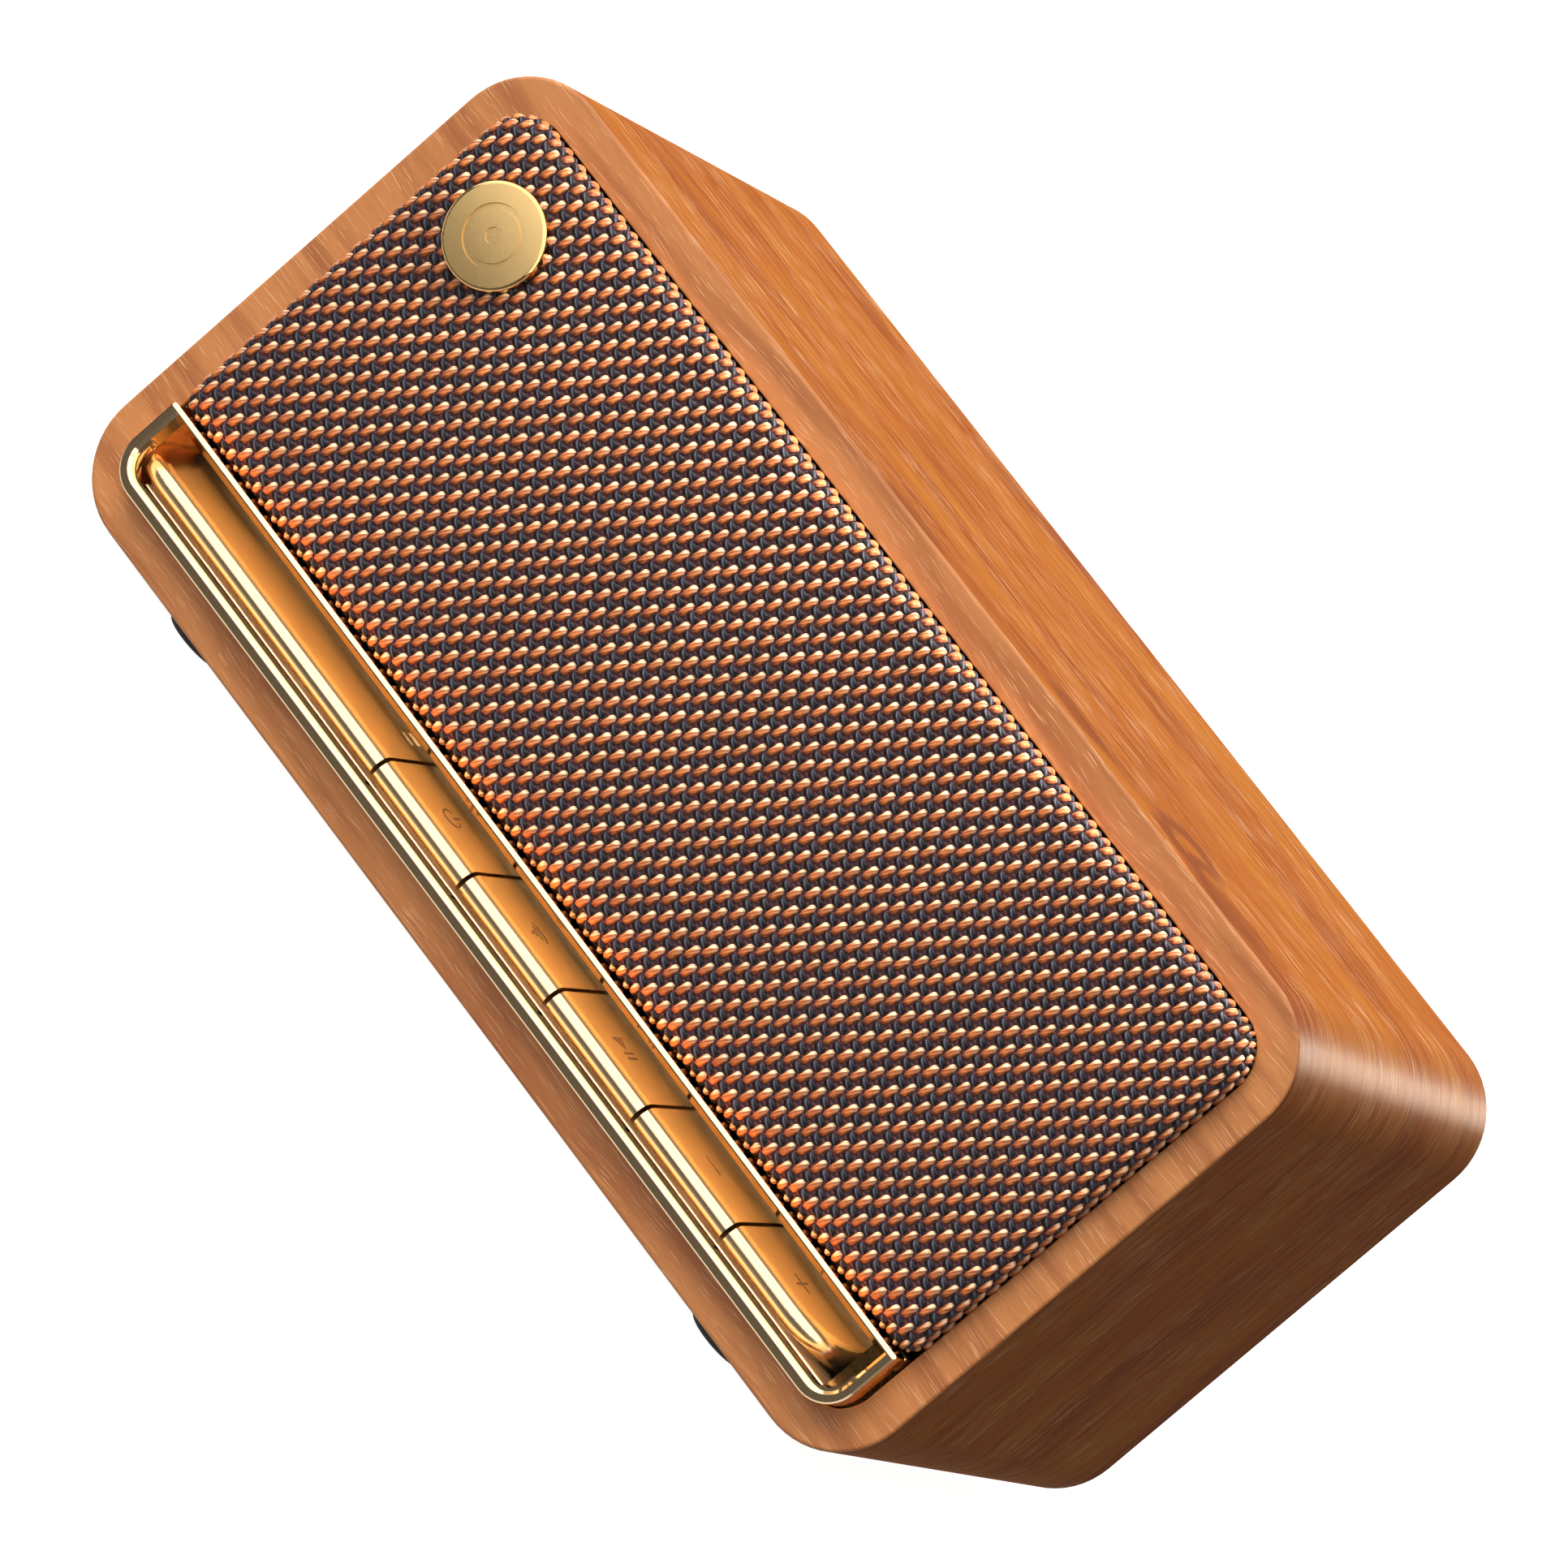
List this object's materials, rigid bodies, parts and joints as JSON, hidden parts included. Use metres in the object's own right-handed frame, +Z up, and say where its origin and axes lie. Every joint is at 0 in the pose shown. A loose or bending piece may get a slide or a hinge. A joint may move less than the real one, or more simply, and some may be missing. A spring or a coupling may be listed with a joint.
{
  "type": "portable radio speaker",
  "caption": "Small portable radio speaker in a wood-veneered case, with a woven grille, a polished bezel and a row of piano keys.",
  "frame": {"origin": "centre of the footprint, on the surface that the feet stand on", "axes": "+X to the listener's right along the long side, +Y to the back, +Z up"},
  "size_m": [0.162, 0.0918, 0.0818],
  "materials": {
    "walnut_veneer": "satin varnish over straight-grained veneer",
    "pine_block": "raw sawn",
    "foot_rubber": "matt moulded",
    "fibreboard": "stained black",
    "black_screw": "black zinc",
    "woven_cloth": "copper and black plain weave",
    "frame_plastic": "moulded black",
    "badge_gold": "satin face, polished rim",
    "spring_steel": "bright",
    "polished_gold": "mirror polished plating",
    "key_gold": "bright gold plating on plastic",
    "smoked_window": "smoked lens",
    "steel_rod": "ground",
    "circuit_board": "green solder mask",
    "led_strip": "clear lens",
    "gasket_foam": "closed-cell foam",
    "rear_plastic": "fine texture",
    "roll_rubber": "butyl",
    "weight_plate": "satin black",
    "guard_steel": "powder coated",
    "sink_aluminium": "extruded",
    "capacitor_sleeve": "shrink sleeve",
    "socket_steel": "tinned",
    "cell_wrap": "shrink wrap",
    "zinc_screw": "zinc plated",
    "lead_red": "soft insulation",
    "ribbon_white": "flat cable",
    "basket_steel": "pressed and painted",
    "magnet_steel": "ferrite magnet with zinc plates",
    "cone_paper": "coated paper",
    "spider_cloth": "resin dipped cloth",
    "dome_rubber": "silicone"
  },
  "bodies": {
    "case": {"aux_jack": "frame_plastic", "badge_clip": "spring_steel", "baffle_screws": "black_screw", "battery_cells": "cell_wrap", "battery_cradle": "frame_plastic", "battery_lead": "lead_red", "cabinet": "walnut_veneer", "capacitors": "capacitor_sleeve", "card_slot": "socket_steel", "corner_cleats": "pine_block", "driver_basket_left": "basket_steel", "driver_basket_right": "basket_steel", "driver_gaskets": "gasket_foam", "driver_magnet_left": "magnet_steel", "driver_magnet_right": "magnet_steel", "driver_screws": "black_screw", "driver_spider_left": "spider_cloth", "driver_spider_right": "spider_cloth", "driver_surround_left": "roll_rubber", "driver_surround_right": "roll_rubber", "feet": "foot_rubber", "front_baffle": "fibreboard", "grille_badge": "badge_gold", "grille_cloth": "woven_cloth", "grille_frame": "frame_plastic", "heat_sink": "sink_aluminium", "inner_screws": "zinc_screw", "key_axle": "steel_rod", "key_bezel": "polished_gold", "key_board": "circuit_board", "key_chassis": "frame_plastic", "key_ribbon": "ribbon_white", "key_switches": "frame_plastic", "led_window": "smoked_window", "main_board": "circuit_board", "minus_dome": "dome_rubber", "name_bar": "key_gold", "play_dome": "dome_rubber", "plus_dome": "dome_rubber", "power_dome": "dome_rubber", "radiator_frame": "frame_plastic", "radiator_guard": "guard_steel", "radiator_surround": "roll_rubber", "rear_panel": "rear_plastic", "rear_panel_screws": "black_screw", "speaker_leads": "lead_red", "status_leds": "led_strip", "usb_c_socket": "socket_steel", "wireless_dome": "dome_rubber"},
    "power_key": {"power_key": "key_gold"},
    "wireless_key": {"wireless_key": "key_gold"},
    "play_key": {"play_key": "key_gold"},
    "minus_key": {"minus_key": "key_gold"},
    "plus_key": {"plus_key": "key_gold"},
    "cone_left": {"driver_cone_left": "cone_paper"},
    "cone_right": {"driver_cone_right": "cone_paper"},
    "radiator": {"radiator_plate": "weight_plate"}
  },
  "joints": [
    {"name": "power_press", "type": "hinge", "parent": "case", "child": "power_key", "pos_m": [0, -0.0224, 0.0118], "axis": [1, 0, 0], "range_deg": [0, 1.4], "stiffness_Nm_per_rad": 0.5, "springref_deg": -0.57, "deforming": ["power_dome"]},
    {"name": "wireless_press", "type": "hinge", "parent": "case", "child": "wireless_key", "pos_m": [0, -0.0224, 0.0118], "axis": [1, 0, 0], "range_deg": [0, 1.4], "stiffness_Nm_per_rad": 0.5, "springref_deg": -0.57, "deforming": ["wireless_dome"]},
    {"name": "play_press", "type": "hinge", "parent": "case", "child": "play_key", "pos_m": [0, -0.0224, 0.0118], "axis": [1, 0, 0], "range_deg": [0, 1.4], "stiffness_Nm_per_rad": 0.5, "springref_deg": -0.57, "deforming": ["play_dome"]},
    {"name": "minus_press", "type": "hinge", "parent": "case", "child": "minus_key", "pos_m": [0, -0.0224, 0.0118], "axis": [1, 0, 0], "range_deg": [0, 1.4], "stiffness_Nm_per_rad": 0.5, "springref_deg": -0.57, "deforming": ["minus_dome"]},
    {"name": "plus_press", "type": "hinge", "parent": "case", "child": "plus_key", "pos_m": [0, -0.0224, 0.0118], "axis": [1, 0, 0], "range_deg": [0, 1.4], "stiffness_Nm_per_rad": 0.5, "springref_deg": -0.57, "deforming": ["plus_dome"]},
    {"name": "cone_left_stroke", "type": "slide", "parent": "case", "child": "cone_left", "axis": [0, 1, 0], "range_m": [-0.002, 0.002], "stiffness_N_per_m": 800, "deforming": ["driver_surround_left", "driver_spider_left"]},
    {"name": "cone_right_stroke", "type": "slide", "parent": "case", "child": "cone_right", "axis": [0, 1, 0], "range_m": [-0.002, 0.002], "stiffness_N_per_m": 800, "deforming": ["driver_surround_right", "driver_spider_right"]},
    {"name": "radiator_stroke", "type": "slide", "parent": "case", "child": "radiator", "axis": [0, 1, 0], "range_m": [-0.0025, 0.0025], "stiffness_N_per_m": 500, "deforming": ["radiator_surround"]}
  ]
}
